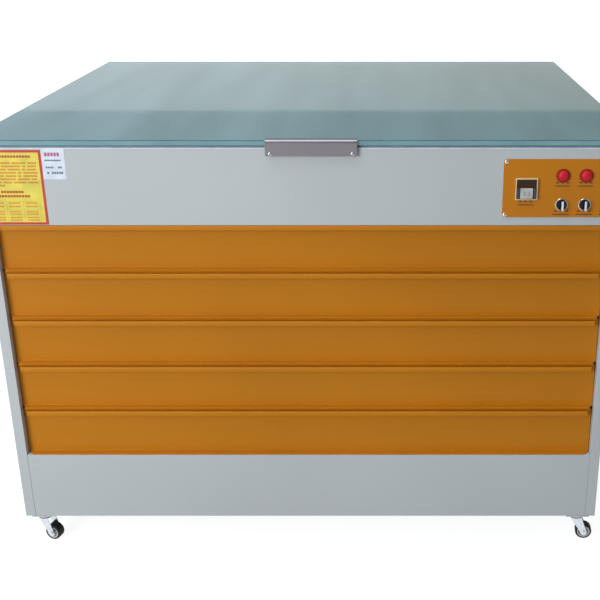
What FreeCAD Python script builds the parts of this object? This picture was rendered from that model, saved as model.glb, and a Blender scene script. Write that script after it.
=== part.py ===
"""Screen drying cabinet: a sheet-steel body on casters, five drawers, a hinged glass top and a control plate.

The pieces are drawn from the cabinet's own datum: X = 0 is its middle, Y = 0 its front face and Z = 0 its
underside. Each piece is then placed so that the origin is on the floor, below the middle of the whole object.
"""
import FreeCAD, Part
import math
import os
import re
import Sketcher

DRAWERS = 5
LIGHTS = 6
CONTROLS = 3
HINGES = 3
FLOOR_SLOTS = 13
VENT_SLOTS = 12
GRID_RODS = 9
BLADES = 12
HEATERS = 4
DOME_ANGLES = (60, 30)
MID_ROUND = 1 - math.sqrt(0.5)

SIZES = {
    # Cabinet body
    "width": 1400,
    "depth": 1184,
    "plinth_height": 171,
    "drawer_pitch": 115,
    "fascia_height": 172,
    "sheet": 1.5,
    "stile_width": 24,
    "stile_return": 20,
    "fascia_return": 40,
    "fascia_shelf": 90,
    "side_shelf": 28,
    "back_shelf": 42,
    "flange": 30,
    # Glass top
    "glass_side": 20,
    "glass_back": 14,
    "glass_thick": 12,
    "glass_gap": 4.5,
    "glass_shift": 10,
    "glass_front": 2,
    "glass_edge": 1,
    "seal_width": 12,
    "seal_inset": 8,
    "seal_slack": 0.3,
    # Clip at the front of the glass
    "clip_width": 196,
    "clip_centre": 26,
    "clip_sheet": 2,
    "clip_drop": 34.5,
    "clip_standoff": 7,
    "clip_flange": 22,
    "clip_bend": 7,
    "jaw_sheet": 2.5,
    "jaw_reach": 13,
    "clip_screw_pitch": 176,
    "clip_screw_rise": 5,
    "clip_screw_radius": 2.4,
    "clip_head_radius": 4,
    "clip_head": 2.6,
    "screw_slack": 0.1,
    # Hinges at the back of the glass
    "hinge_from_side": 180,
    "leaf_width": 80,
    "leaf_sheet": 3,
    "leaf_length": 62,
    "hinge_standoff": 8,
    "knuckle_radius": 7,
    "fixed_knuckle_radius": 6.5,
    "knuckle_width": 27.6,
    "knuckle_slack": 0.2,
    "leaf_clear": 1,
    "hinge_pin_radius": 3,
    "pin_head_radius": 4.5,
    "pin_head": 1.5,
    "running_slack": 0.05,
    # Drawers
    "recess": 18,
    "lip_front": 1,
    "lip_edge": 10.5,
    "lip_rise": 1.5,
    "first_lip_drop": 1,
    "lip_bend": 1.2,
    "lip_return": 12,
    "ledge_front": 0.5,
    "face_lift": 9.5,
    "lowest_lift": 1,
    "drawer_slack": 1.5,
    "panel_slack": 0.3,
    "angle_leg": 25,
    "angle_sheet": 2.5,
    "frame_rise": 8,
    "frame_clear": 64.5,
    "frame_slack": 1,
    "grid_rod_radius": 3.5,
    # Runners
    "runner_gap": 0.5,
    "runner_slack": 0.45,
    "runner_flange": 21.5,
    "post_depth": 30,
    "post_front": 45,
    "runner_clear": 49,
    "foot_rail_low": 50,
    # Lights under the glass
    "tray_margin": 30,
    "tray_back": 54,
    "tray_depth": 116,
    "tray_rim": 20,
    "tube_radius": 13,
    "tube_length": 1200,
    "tube_rise": 44,
    "holder_length": 22,
    "holder_width": 30,
    "holder_height": 62,
    # Warm air
    "floor_front": 21,
    "floor_slot": 12,
    "floor_slot_start": 200,
    "floor_slot_margin": 36,
    "fan_inlet_radius": 68,
    "fan_behind_middle": 8,
    "motor_radius": 55,
    "motor_height": 70,
    "fan_radius": 110,
    "fan_height": 45,
    "fan_sheet": 3,
    "fan_hub_radius": 16,
    "fan_shaft_radius": 6,
    "fan_lift": 12,
    "fan_shaft_slack": 0.3,
    "blade_length": 38,
    "blade_sheet": 2,
    "heater_radius": 5,
    "heater_from_runner": 96,
    "heater_rise": 60,
    "heater_from_end": 104,
    "heater_foot": 20,
    "vent_slot": 8,
    "vent_length": 90,
    "vent_pitch": 22,
    "vent_rise": 640,
    # Control plate; what is on it is measured from its own lower left corner
    "plate_from_side": 6,
    "plate_lower": 2.5,
    "plate_width": 255,
    "plate_height": 129,
    "plate_thick": 2,
    "plate_corner": 4,
    "plate_screw_inset": 5.5,
    "plate_screw_radius": 1.7,
    "plate_head_radius": 4.4,
    "plate_head": 2,
    "plate_screw_length": 8,
    "cutout_inset": 14,
    "controller_left": 26.6,
    "controller_rise": 39.8,
    "controller_size": 48,
    "controller_border": 2.5,
    "controller_front": 6,
    "controller_body": 44.6,
    "controller_depth": 72,
    "controller_fit": 0.2,
    "window_thick": 1.5,
    "window_sink": 0.5,
    "control_left": 128.4,
    "control_pitch": 50.2,
    "lamp_rise": 92.9,
    "lamp_radius": 15,
    "lens_radius": 11.5,
    "lamp_bezel": 4.5,
    "lens_height": 5.5,
    "lamp_round": 1,
    "neck_radius": 10.8,
    "neck_slack": 0.2,
    "neck_depth": 34,
    "knob_rise": 28.7,
    "ring_radius": 14,
    "ring_height": 3,
    "ring_floor": 1,
    "ring_round": 1,
    "knob_radius": 10.3,
    "knob_round": 1,
    "knob_slack": 0.3,
    "knob_disc": 4.7,
    "grip_height": 11,
    "grip_width": 5.6,
    "knob_shaft_radius": 3,
    "knob_shaft": 12,
    "shaft_clear": 1,
    "selector_box": 28,
    # Plates on the fascia
    "instruction_left": 9.5,
    "instruction_rise": 1.5,
    "instruction_width": 137,
    "instruction_drop": 4.5,
    "rating_left": 147.5,
    "rating_drop": 1.5,
    "rating_width": 49.5,
    "rating_height": 67.5,
    "label_thick": 0.5,
    # Cable gland in the back panel
    "gland_from_side": 140,
    "gland_rise": 60,
    "gland_bore": 6,
    "gland_radius": 9,
    "gland_flange_radius": 14,
    "gland_flange": 6,
    "gland_cap_radius": 11,
    "gland_cone": 3,
    "gland_cone_length": 4,
    "gland_reach": 22,
    "gland_inside": 12,
    "gland_nut_radius": 13.5,
    "gland_nut": 4,
    # Casters
    "caster_height": 71,
    "caster_inset_side": 42,
    "caster_inset_front": 21,
    "caster_plate_length": 56,
    "caster_plate_width": 44,
    "caster_plate": 2.5,
    "race_radius": 19,
    "race_height": 6.5,
    "race_slack": 0.3,
    "race_round": 2,
    "king_pin_radius": 4,
    "fork_radius": 19,
    "fork_root": 13,
    "fork_sheet": 2,
    "fork_gap": 26,
    "boss_radius": 8,
    "trail": 20,
    "wheel_radius": 20,
    "tyre_thick": 4.5,
    "tyre_width": 23,
    "tyre_round": 3,
    "hub_web": 5,
    "hub_rim": 3,
    "rim_step": 1,
    "hub_radius": 6,
    "hub_slack": 0.3,
    "axle_radius": 3,
    "axle_head_radius": 5,
    "axle_head": 2,
    "front_left_turn": -18,
    "front_right_turn": -5,
    "back_left_turn": 200,
    "back_right_turn": -20,
}

RULES = {
    "half": "width / 2",
    "opening": "half - stile_width",
    "glass_width": "width + 2 * glass_side",
    "glass_depth": "depth + glass_front + glass_back",
    "fascia_bottom": f"plinth_height + {DRAWERS} * drawer_pitch",
    "body_height": "fascia_bottom + fascia_height",
    "shelf_low": "body_height - sheet",
    "glass_low": "body_height + glass_gap",
    "glass_high": "glass_low + glass_thick",
    "clip_low": "glass_high + clip_sheet - clip_drop",
    "clip_face": "clip_standoff + clip_sheet",
    "hinge_y": "depth + hinge_standoff",
    "hinge_z": "glass_low - knuckle_radius",
    "frame_half": "opening - frame_slack",
    "frame_front": "recess + sheet",
    "frame_back": "depth - frame_clear",
    "runner_back": "depth - runner_clear",
    "runner_web": "opening + runner_gap",
    "rack_inner": "runner_web + sheet",
    "wall_inner": "half - sheet",
    "tray_half": "half - tray_margin",
    "tray_end": "depth - tray_back",
    "tray_low": "shelf_low - tray_depth",
    "fan_y": "depth / 2 + fan_behind_middle",
    "fan_low": "sheet + motor_height + fan_lift",
    "heater_end": "opening - heater_from_runner",
    "plate_low": "fascia_bottom + (fascia_height - plate_height) / 2 - plate_lower",
    "plate_right": "half - plate_from_side",
    "plate_left": "plate_right - plate_width",
    "plate_top": "plate_low + plate_height",
    "controller_x": "plate_left + controller_left + controller_size / 2",
    "controller_z": "plate_low + controller_rise + controller_size / 2",
    "gland_x": "half - gland_from_side",
    "race_low": "caster_plate + race_height",
    "fork_top": "race_low + race_slack",
    "axle_z": "caster_height - wheel_radius",
    "leg_inner": "fork_gap / 2",
    "leg_outer": "leg_inner + fork_sheet",
    "front_reach": "plate_thick + ring_floor + knob_slack + knob_disc + grip_height",
    "back_reach": "depth + gland_reach",
    "middle_y": "(back_reach - front_reach) / 2",
}

doc = FreeCAD.newDocument("DryingCabinet")
sizes = doc.addObject("Spreadsheet::Sheet", "Sizes")
for row, (name, number) in enumerate(SIZES.items(), start=1):
    sizes.set(f"A{row}", name)
    sizes.set(f"B{row}", str(number))
    sizes.setAlias(f"B{row}", name)
doc.recompute()

nodes = []
WORD = re.compile(r"[a-z][a-z_0-9]*")
ALONG = {
    "x": FreeCAD.Rotation(FreeCAD.Vector(0, 1, 0), 90),
    "y": FreeCAD.Rotation(FreeCAD.Vector(1, 0, 0), -90),
    "z": FreeCAD.Rotation(),
}


def full(text):
    """The expression with each rule written out and each size read from the sheet."""
    def swap(match):
        word = match.group(0)
        if word in RULES:
            return f"({full(RULES[word])})"
        return f"Sizes.{word}" if word in SIZES else word
    return WORD.sub(swap, str(text))


def bind(thing, path, text):
    thing.setExpression(path, full(text))


def move(thing, x=0, y=0, z=0):
    bind(thing, "Placement.Base.x", x)
    bind(thing, "Placement.Base.y", y)
    bind(thing, "Placement.Base.z", z)
    return thing


def box(x, y, z):
    """A block between two values on each axis."""
    block = doc.addObject("Part::Box", "Block")
    bind(block, "Length", f"({x[1]}) - ({x[0]})")
    bind(block, "Width", f"({y[1]}) - ({y[0]})")
    bind(block, "Height", f"({z[1]}) - ({z[0]})")
    return move(block, x[0], y[0], z[0])


def rod(axis, start, radius, length):
    """A cylinder that runs from its start along an axis."""
    bar = doc.addObject("Part::Cylinder", "Rod")
    bar.Placement.Rotation = ALONG[axis]
    bind(bar, "Radius", radius)
    bind(bar, "Height", length)
    return move(bar, *start)


def fuse(*pieces):
    joined = doc.addObject("Part::MultiFuse", "Joined")
    joined.Shapes = list(pieces)
    return joined


def group(*pieces):
    together = doc.addObject("Part::Compound", "Group")
    together.Links = list(pieces)
    return together


def cut(base, *tools):
    rest = doc.addObject("Part::Cut", "Rest")
    rest.Base = base
    rest.Tool = tools[0] if len(tools) == 1 else group(*tools)
    return rest


def origin_part(body, role):
    return next(part for part in body.Origin.OriginFeatures if part.Role == role)


def outline(body, plane, points):
    """A closed sketch with straight sides, each corner held from the origin by its two values."""
    sketch = body.newObject("Sketcher::SketchObject", "Outline")
    sketch.AttachmentSupport = [(origin_part(body, plane), "")]
    sketch.MapMode = "FlatFace"
    count = len(points)
    start = FreeCAD.Vector(count, 0, 0)
    ring = [FreeCAD.Rotation(360 * corner / count, 0, 0).multVec(start) for corner in range(count)]
    for corner in range(count):
        sketch.addGeometry(Part.LineSegment(ring[corner], ring[(corner + 1) % count]), False)
    for corner in range(count):
        sketch.addConstraint(Sketcher.Constraint("Coincident", corner, 2, (corner + 1) % count, 1))
    for corner, values in enumerate(points):
        for kind, first, value in zip(("DistanceX", "DistanceY"), (ring[corner].x, ring[corner].y), values):
            held = sketch.addConstraint(Sketcher.Constraint(kind, -1, 1, corner, 1, first))
            bind(sketch, f"Constraints[{held}]", value)
    return sketch


def folded(points, width, bends=None):
    """A sheet folded along X, from its outline in Y and Z, with some corners rounded to a radius."""
    body = doc.addObject("PartDesign::Body", "Folded")
    sketch = outline(body, "YZ_Plane", points)
    pad = body.newObject("PartDesign::Pad", "Width")
    pad.Profile = sketch
    pad.SideType = "Symmetric"
    bind(pad, "Length", width)
    for radius, corners in (bends or {}).items():
        doc.recompute()
        tip = body.Tip
        round_off = body.newObject("PartDesign::Fillet", "Bend")
        round_off.Base = (tip, [edge_at(tip.Shape, sketch, corner) for corner in corners])
        bind(round_off, "Radius", radius)
    return body


def edge_at(shape, sketch, corner):
    """The name of the straight edge that runs along X from a corner of the outline."""
    at = sketch.Placement.multVec(sketch.getPoint(corner, 1))
    for number, edge in enumerate(shape.Edges, start=1):
        ends = [vertex.Point for vertex in edge.Vertexes]
        if all(abs(end.y - at.y) < 1e-6 and abs(end.z - at.z) < 1e-6 for end in ends):
            return f"Edge{number}"
    raise ValueError(f"no edge at corner {corner}")


def turned(axis, points):
    """A piece turned about an axis, from its outline as distance from the axis and place along it."""
    plane = "XY_Plane" if axis == "y" else "XZ_Plane"
    body = doc.addObject("PartDesign::Body", "Turned")
    sketch = outline(body, plane, points)
    spin = body.newObject("PartDesign::Revolution", "Spin")
    spin.Profile = sketch
    spin.ReferenceAxis = (origin_part(body, f"{axis.upper()}_Axis"), [""])
    spin.Angle = 360
    return body


def node(name, thing, at=(0, 0, 0), turn=None):
    """Name a finished sub-part and place it in the frame whose origin is on the floor."""
    if thing.TypeId in ("Part::Box", "Part::Cylinder"):
        thing = group(thing)
    thing.Label = name
    if turn:
        thing.Placement.Rotation = FreeCAD.Rotation(FreeCAD.Vector(0, 0, 1), 1)
        bind(thing, "Placement.Rotation.Angle", turn)
    move(thing, f"{at[0]} - glass_shift", f"{at[1]} - middle_y", f"{at[2]} + caster_height")
    nodes.append(thing)


def both_ways(low, high, side):
    """A span of X on the left (-1) or right (1) side, given as distances from the middle."""
    return (low, high) if side > 0 else (f"-({high})", f"-({low})")


def side_panel(name, side):
    wall = box(both_ways("wall_inner", "half", side), ("0", "depth"), ("0", "fascia_bottom"))
    upper = box(both_ways("wall_inner", "half", side), ("fascia_return", "depth"), ("0", "body_height"))
    stile = box(both_ways("opening", "half", side), ("0", "sheet"), ("0", "fascia_bottom"))
    inner = box(both_ways("opening", "opening + sheet", side), ("0", "stile_return"), ("sheet", "fascia_bottom"))
    shelf = box(both_ways("half - side_shelf", "half", side),
                ("fascia_shelf", "depth - back_shelf"), ("shelf_low", "body_height"))
    node(name, fuse(wall, upper, stile, inner, shelf))


def back_panel():
    wall = box(("-wall_inner", "wall_inner"), ("depth - sheet", "depth"), ("0", "body_height"))
    shelf = box(("-wall_inner", "wall_inner"), ("depth - back_shelf", "depth"), ("shelf_low", "body_height"))
    slots = []
    for side in (-1, 1):
        for slot in range(VENT_SLOTS):
            middle = f"{side} * vent_pitch * ({slot} + 0.5)"
            slots.append(box((f"{middle} - vent_slot / 2", f"{middle} + vent_slot / 2"),
                             ("depth - flange", "depth + flange"),
                             ("vent_rise", "vent_rise + vent_length")))
    hole = rod("y", ("gland_x", "depth - flange", "gland_rise"), "gland_radius", "2 * flange")
    node("back_panel", cut(fuse(wall, shelf), *slots, hole))


def base_pan():
    floor = box(("-wall_inner", "wall_inner"), ("sheet", "depth - sheet"), ("0", "sheet"))
    edges = []
    for side in (-1, 1):
        edges.append(box(both_ways("wall_inner - sheet", "wall_inner", side),
                         ("stile_return", "depth - sheet"), ("0", "flange")))
    node("base_pan", fuse(floor, *edges))


def plinth_panel():
    points = [
        ("0", "0"),
        ("0", "plinth_height"),
        ("flange", "plinth_height"),
        ("flange", "plinth_height - sheet"),
        ("sheet", "plinth_height - sheet"),
        ("sheet", "2 * sheet"),
        ("flange", "2 * sheet"),
        ("flange", "sheet"),
        ("sheet", "sheet"),
        ("sheet", "0"),
    ]
    node("plinth_panel", folded(points, "2 * (opening - panel_slack)", {"sheet / 2": [1]}))


def control_spot(number):
    """The X of one of the columns of lamps and selectors."""
    return f"plate_left + control_left + {number} * control_pitch"


def plate_corners():
    for x in ("plate_left + plate_screw_inset", "plate_right - plate_screw_inset"):
        for z in ("plate_low + plate_screw_inset", "plate_top - plate_screw_inset"):
            yield x, z


def front_fascia():
    points = [
        ("0", "fascia_bottom"),
        ("0", "body_height"),
        ("fascia_shelf", "body_height"),
        ("fascia_shelf", "shelf_low"),
        ("sheet", "shelf_low"),
        ("sheet", "fascia_bottom + sheet"),
        ("flange", "fascia_bottom + sheet"),
        ("flange", "fascia_bottom"),
    ]
    front = folded(points, "2 * wall_inner")
    sides = [box(both_ways("wall_inner", "half", side), ("0", "fascia_return"), ("fascia_bottom", "body_height"))
             for side in (-1, 1)]
    window = box(("plate_left + cutout_inset", "plate_right - cutout_inset"), ("-flange", "fascia_shelf / 2"),
                 ("plate_low + cutout_inset", "plate_top - cutout_inset"))
    holes = [rod("y", (x, "-flange", z), "plate_screw_radius + screw_slack", "2 * flange")
             for x, z in plate_corners()]
    node("front_fascia", cut(fuse(front, *sides), window, *holes))


def light_tray():
    outer = box(("-tray_half", "tray_half"), ("fascia_shelf", "tray_end"), ("tray_low", "shelf_low"))
    rim = box(("-(tray_half + tray_rim)", "tray_half + tray_rim"),
              ("fascia_shelf - tray_rim", "tray_end + tray_rim"), ("shelf_low - sheet", "shelf_low"))
    inner = box(("-(tray_half - sheet)", "tray_half - sheet"), ("fascia_shelf + sheet", "tray_end - sheet"),
                ("tray_low + sheet", "body_height"))
    node("light_tray", cut(fuse(outer, rim), inner))


def lights():
    tubes = []
    holders = []
    for number in range(LIGHTS):
        y = f"fascia_shelf + (tray_end - fascia_shelf) * ({number} + 0.5) / {LIGHTS}"
        tubes.append(rod("x", ("-tube_length / 2", y, "tray_low + sheet + tube_rise"),
                         "tube_radius", "tube_length"))
        for side in (-1, 1):
            holders.append(box(both_ways("tube_length / 2", "tube_length / 2 + holder_length", side),
                               (f"{y} - holder_width / 2", f"{y} + holder_width / 2"),
                               ("tray_low + sheet", "tray_low + sheet + holder_height")))
    node("light_tubes", group(*tubes))
    node("lamp_holders", group(*holders))


def glass_seal():
    z = ("body_height", "glass_low - seal_slack")
    outer = "half - seal_inset"
    strips = [box((f"-({outer})", outer), ("seal_inset", "seal_inset + seal_width"), z)]
    for side in (-1, 1):
        strips.append(box(both_ways(f"{outer} - seal_width", outer, side),
                          ("seal_inset", "depth - back_shelf - seal_width"), z))
    node("glass_seal", fuse(*strips))


def drawer_base(number):
    """The height of a drawer bay's lower edge; drawer 1 is the top one."""
    return f"plinth_height + {DRAWERS - number} * drawer_pitch"


def runner_rack(name, side):
    """Five channels for the drawer frames on three posts, which a rail ties together near their feet."""
    stand = []
    for y in ("post_front", "(post_front + runner_back - post_depth) / 2", "runner_back - post_depth"):
        stand.append(box(both_ways("rack_inner", "wall_inner - sheet", side), (y, f"{y} + post_depth"),
                         ("sheet", "fascia_bottom")))
    stand.append(box(both_ways("wall_inner - 2 * sheet", "wall_inner - sheet", side),
                     ("post_front", "runner_back"), ("foot_rail_low", "foot_rail_low + flange")))
    channels = []
    for number in range(1, DRAWERS + 1):
        low = f"{drawer_base(number)} + frame_rise - runner_slack"
        high = f"{low} + angle_leg + 2 * runner_slack"
        y = ("stile_return + runner_gap", "runner_back")
        flange_x = both_ways("rack_inner - runner_flange - sheet", "rack_inner", side)
        channels.append(fuse(
            box(both_ways("runner_web", "rack_inner", side), y, (f"{low} - sheet", f"{high} + sheet")),
            box(flange_x, y, (f"{low} - sheet", low)),
            box(flange_x, y, (high, f"{high} + sheet"))))
    node(name, group(fuse(*stand), *channels))


def air_floor():
    plate = box(("-rack_inner", "rack_inner"), ("floor_front", "depth - sheet"),
                ("plinth_height", "plinth_height + sheet"))
    slots = [rod("z", ("0", "fan_y", "plinth_height - flange"), "fan_inlet_radius", "2 * flange")]
    for side in (-1, 1):
        for number in range(FLOOR_SLOTS):
            y = f"floor_front + (depth - floor_front) * ({number} + 0.5) / {FLOOR_SLOTS}"
            slots.append(box(both_ways("floor_slot_start", "opening - floor_slot_margin", side),
                             (f"{y} - floor_slot / 2", f"{y} + floor_slot / 2"),
                             ("plinth_height - flange", "plinth_height + flange")))
    node("air_floor", cut(plate, *slots))


def heaters():
    elements = []
    for number in range(HEATERS):
        y = f"heater_from_end + (depth - 2 * heater_from_end) * {number} / {HEATERS - 1}"
        bar = rod("x", ("-heater_end", y, "sheet + heater_rise"), "heater_radius", "2 * heater_end")
        feet = [box(both_ways("heater_end - heater_foot", "heater_end", side),
                    (f"{y} - heater_foot / 2", f"{y} + heater_foot / 2"), ("sheet", "sheet + heater_rise"))
                for side in (-1, 1)]
        elements.append(fuse(bar, *feet))
    node("heater_elements", group(*elements))


def fan():
    centre = ("0", "fan_y", "sheet")
    case = rod("z", centre, "motor_radius", "motor_height")
    well = rod("z", ("0", "fan_y", "sheet + motor_height / 2"),
               "fan_shaft_radius + running_slack", "motor_height")
    node("fan_motor", cut(case, well))
    bottom = "-(fan_lift + motor_height / 2 - fan_shaft_slack)"
    wheel = turned("z", [
        ("0", bottom),
        ("fan_shaft_radius", bottom),
        ("fan_shaft_radius", "0"),
        ("fan_radius", "0"),
        ("fan_radius", "fan_sheet"),
        ("fan_hub_radius", "fan_sheet"),
        ("fan_hub_radius", "fan_height / 2"),
        ("0", "fan_height / 2"),
    ])
    doc.recompute()
    blade_sketch = outline(wheel, "XY_Plane", [
        ("fan_radius - blade_length", "-blade_sheet / 2"),
        ("fan_radius - blade_sheet", "-blade_sheet / 2"),
        ("fan_radius - blade_sheet", "blade_sheet / 2"),
        ("fan_radius - blade_length", "blade_sheet / 2"),
    ])
    blade = wheel.newObject("PartDesign::Pad", "Blade")
    blade.Profile = blade_sketch
    bind(blade, "Length", "fan_height")
    ring = wheel.newObject("PartDesign::PolarPattern", "Blades")
    ring.Originals = [blade]
    ring.Axis = (origin_part(wheel, "Z_Axis"), [""])
    ring.Occurrences = BLADES
    wheel.Tip = ring
    node("fan_impeller", wheel, ("0", "fan_y", "fan_low"))


def control_plate():
    """The plate on the fascia, with cut corners and holes for all that it carries."""
    plate = doc.addObject("PartDesign::Body", "Plate")
    pad = plate.newObject("PartDesign::Pad", "Thickness")
    pad.Profile = outline(plate, "XZ_Plane", [
        ("plate_left + plate_corner", "plate_low"),
        ("plate_right - plate_corner", "plate_low"),
        ("plate_right", "plate_low + plate_corner"),
        ("plate_right", "plate_top - plate_corner"),
        ("plate_right - plate_corner", "plate_top"),
        ("plate_left + plate_corner", "plate_top"),
        ("plate_left", "plate_top - plate_corner"),
        ("plate_left", "plate_low + plate_corner"),
    ])
    bind(pad, "Length", "plate_thick")
    half_size = "controller_body / 2 + controller_fit"
    holes = [box((f"controller_x - ({half_size})", f"controller_x + {half_size}"), ("-flange", "flange"),
                 (f"controller_z - ({half_size})", f"controller_z + {half_size}"))]
    for number in range(CONTROLS):
        for rise in ("lamp_rise", "knob_rise"):
            holes.append(rod("y", (control_spot(number), "-flange", f"plate_low + {rise}"),
                             "neck_radius + neck_slack", "2 * flange"))
    for x, z in plate_corners():
        holes.append(rod("y", (x, "-flange", z), "plate_screw_radius + screw_slack", "2 * flange"))
    node("control_plate", cut(plate, *holes))


def dome(radius, height, base):
    """The outline of a dome that rises from a base towards -Y, from its middle to its rim."""
    points = [("0", f"{base} - {height}")]
    for angle in DOME_ANGLES:
        across = math.cos(math.radians(angle))
        rise = math.sin(math.radians(angle))
        points.append((f"{across:.4f} * {radius}", f"{base} - {rise:.4f} * {height}"))
    return points + [(radius, base)]


def dome_screw(head_radius, head, radius, length):
    """A domed screw along Y, its head in front of Y = 0."""
    return turned("y", [
        *dome(head_radius, head, "0"),
        (radius, "0"),
        (radius, length),
        ("0", length),
    ])


def control_screws():
    screws = [move(dome_screw("plate_head_radius", "plate_head", "plate_screw_radius", "plate_screw_length"),
                   x, "-plate_thick", z)
              for x, z in plate_corners()]
    node("control_screws", group(*screws))


def controller():
    def square(size, y):
        return box((f"controller_x - ({size}) / 2", f"controller_x + ({size}) / 2"), y,
                   (f"controller_z - ({size}) / 2", f"controller_z + ({size}) / 2"))
    inner = "controller_size - 2 * controller_border"
    front = "-(plate_thick + controller_front)"
    seat = f"{front} + window_sink + window_thick"
    frame = square("controller_size", (front, "-plate_thick"))
    case = square("controller_body", ("-plate_thick", "controller_depth"))
    node("controller_case", cut(fuse(frame, case), square(inner, (front, seat))))
    node("controller_window", square(inner, (f"{front} + window_sink", seat)))


def pilot_lamp(number):
    lamp = turned("y", [
        *dome("lens_radius", "lens_height", "-lamp_bezel"),
        ("lamp_radius - lamp_round", "-lamp_bezel"),
        ("lamp_radius", "lamp_round - lamp_bezel"),
        ("lamp_radius", "0"),
        ("neck_radius", "0"),
        ("neck_radius", "neck_depth"),
        ("0", "neck_depth"),
    ])
    node(f"pilot_lamp_{number + 1}", lamp, (control_spot(number), "-plate_thick", "plate_low + lamp_rise"))


def selector_bodies():
    selectors = []
    for number in range(CONTROLS):
        ring = turned("y", [
            ("0", "-ring_floor"),
            ("knob_radius + knob_slack", "-ring_floor"),
            ("knob_radius + knob_slack", "-ring_height"),
            ("ring_radius - ring_round", "-ring_height"),
            ("ring_radius", "ring_round - ring_height"),
            ("ring_radius", "0"),
            ("neck_radius", "0"),
            ("neck_radius", "neck_depth / 2"),
            ("0", "neck_depth / 2"),
        ])
        block = box(("-selector_box / 2", "selector_box / 2"), ("plate_thick + sheet", "neck_depth"),
                    ("-selector_box / 2", "selector_box / 2"))
        bore = rod("y", ("0", "-ring_height", "0"), "knob_shaft_radius + running_slack",
                   "ring_height + knob_shaft + shaft_clear")
        selectors.append(move(cut(fuse(ring, block), bore), control_spot(number), "-plate_thick",
                              "plate_low + knob_rise"))
    node("selector_bodies", group(*selectors))


def selector_knob(number):
    disc_back = "-(ring_floor + knob_slack)"
    disc_front = "-(ring_floor + knob_slack + knob_disc)"
    disc = turned("y", [
        ("0", disc_front),
        ("knob_radius - knob_round", disc_front),
        ("knob_radius", f"{disc_front} + knob_round"),
        ("knob_radius", disc_back),
        ("knob_shaft_radius", disc_back),
        ("knob_shaft_radius", "knob_shaft"),
        ("0", "knob_shaft"),
    ])
    grip = box(("-grip_width / 2", "grip_width / 2"), (f"{disc_front} - grip_height", disc_front),
               ("-(knob_radius - knob_round)", "knob_radius - knob_round"))
    node(f"selector_knob_{number + 1}", fuse(disc, grip),
         (control_spot(number), "-plate_thick", "plate_low + knob_rise"))


def label(name, left, width, low, high):
    """A thin plate on the fascia, its left edge measured from the cabinet's left side."""
    node(name, box((f"{left} - half", f"{left} - half + {width}"), ("-label_thick", "0"), (low, high)))


def cable_gland():
    sleeve = turned("y", [
        ("gland_bore", "-(sheet + gland_inside)"),
        ("gland_radius", "-(sheet + gland_inside)"),
        ("gland_radius", "0"),
        ("gland_flange_radius", "0"),
        ("gland_flange_radius", "gland_flange"),
        ("gland_cap_radius", "gland_flange"),
        ("gland_cap_radius", "gland_reach - gland_cone_length"),
        ("gland_cap_radius - gland_cone", "gland_reach"),
        ("gland_bore", "gland_reach"),
    ])
    nut = turned("y", [
        ("gland_radius", "-(sheet + gland_nut)"),
        ("gland_nut_radius", "-(sheet + gland_nut)"),
        ("gland_nut_radius", "-sheet"),
        ("gland_radius", "-sheet"),
    ])
    node("cable_gland", group(sleeve, nut), ("gland_x", "depth", "gland_rise"))


def hinge_spots():
    for number in range(HINGES):
        yield f"{number - HINGES // 2} * (half - hinge_from_side)"


def hinges():
    fixed = []
    moving = []
    pins = []
    gap = "knuckle_width / 2 + knuckle_slack"
    for x in hinge_spots():
        ends = []
        for side in (-1, 1):
            low, high = both_ways(gap, "leaf_width / 2", side)
            span = (f"{x} + {low}", f"{x} + {high}")
            ends.append(box(span, ("depth", "depth + leaf_sheet"), ("hinge_z - leaf_length", "hinge_z")))
            ends.append(rod("x", (span[0], "hinge_y", "hinge_z"), "fixed_knuckle_radius",
                            f"leaf_width / 2 - ({gap})"))
        leaf = box((f"{x} - leaf_width / 2", f"{x} + leaf_width / 2"), ("depth", "depth + leaf_sheet"),
                   ("hinge_z - leaf_length", "hinge_z - knuckle_radius - leaf_clear"))
        fixed.append(cut(fuse(leaf, *ends), rod("x", (f"{x} - leaf_width", "hinge_y", "hinge_z"),
                                                "hinge_pin_radius", "2 * leaf_width")))
        top = ("glass_low - leaf_sheet", "glass_low")
        plate = box((f"{x} - leaf_width / 2", f"{x} + leaf_width / 2"),
                    ("hinge_y - leaf_length", "hinge_y - knuckle_radius - leaf_clear"), top)
        tongue = box((f"{x} - knuckle_width / 2", f"{x} + knuckle_width / 2"),
                     ("hinge_y - leaf_length", "hinge_y"), top)
        knuckle = rod("x", (f"{x} - knuckle_width / 2", "hinge_y", "hinge_z"), "knuckle_radius",
                      "knuckle_width")
        moving.append(cut(fuse(plate, tongue, knuckle), rod("x", (f"{x} - leaf_width", "hinge_y", "hinge_z"),
                                                            "hinge_pin_radius + running_slack",
                                                            "2 * leaf_width")))
        pin = rod("x", (f"{x} - leaf_width / 2", "hinge_y", "hinge_z"), "hinge_pin_radius", "leaf_width")
        heads = [rod("x", (start, "hinge_y", "hinge_z"), "pin_head_radius", "pin_head")
                 for start in (f"{x} - leaf_width / 2 - pin_head", f"{x} + leaf_width / 2")]
        pins.append(fuse(pin, *heads))
    node("hinge_cabinet_leaves", group(*fixed))
    node("hinge_lid_leaves", group(*moving))
    node("hinge_pins", group(*pins))


def glass_plate():
    pane = doc.addObject("PartDesign::Body", "Pane")
    sketch = outline(pane, "XY_Plane", [
        ("-glass_width / 2", "-glass_front"),
        ("glass_width / 2", "-glass_front"),
        ("glass_width / 2", "glass_depth - glass_front"),
        ("-glass_width / 2", "glass_depth - glass_front"),
    ])
    pad = pane.newObject("PartDesign::Pad", "Thickness")
    pad.Profile = sketch
    bind(pad, "Length", "glass_thick")
    doc.recompute()
    eased = pane.newObject("PartDesign::Chamfer", "Eased")
    eased.Base = (pad, [f"Edge{number}" for number in range(1, len(pad.Shape.Edges) + 1)])
    bind(eased, "Size", "glass_edge")
    node("glass_plate", pane, ("glass_shift", "0", "glass_low"))


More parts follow.
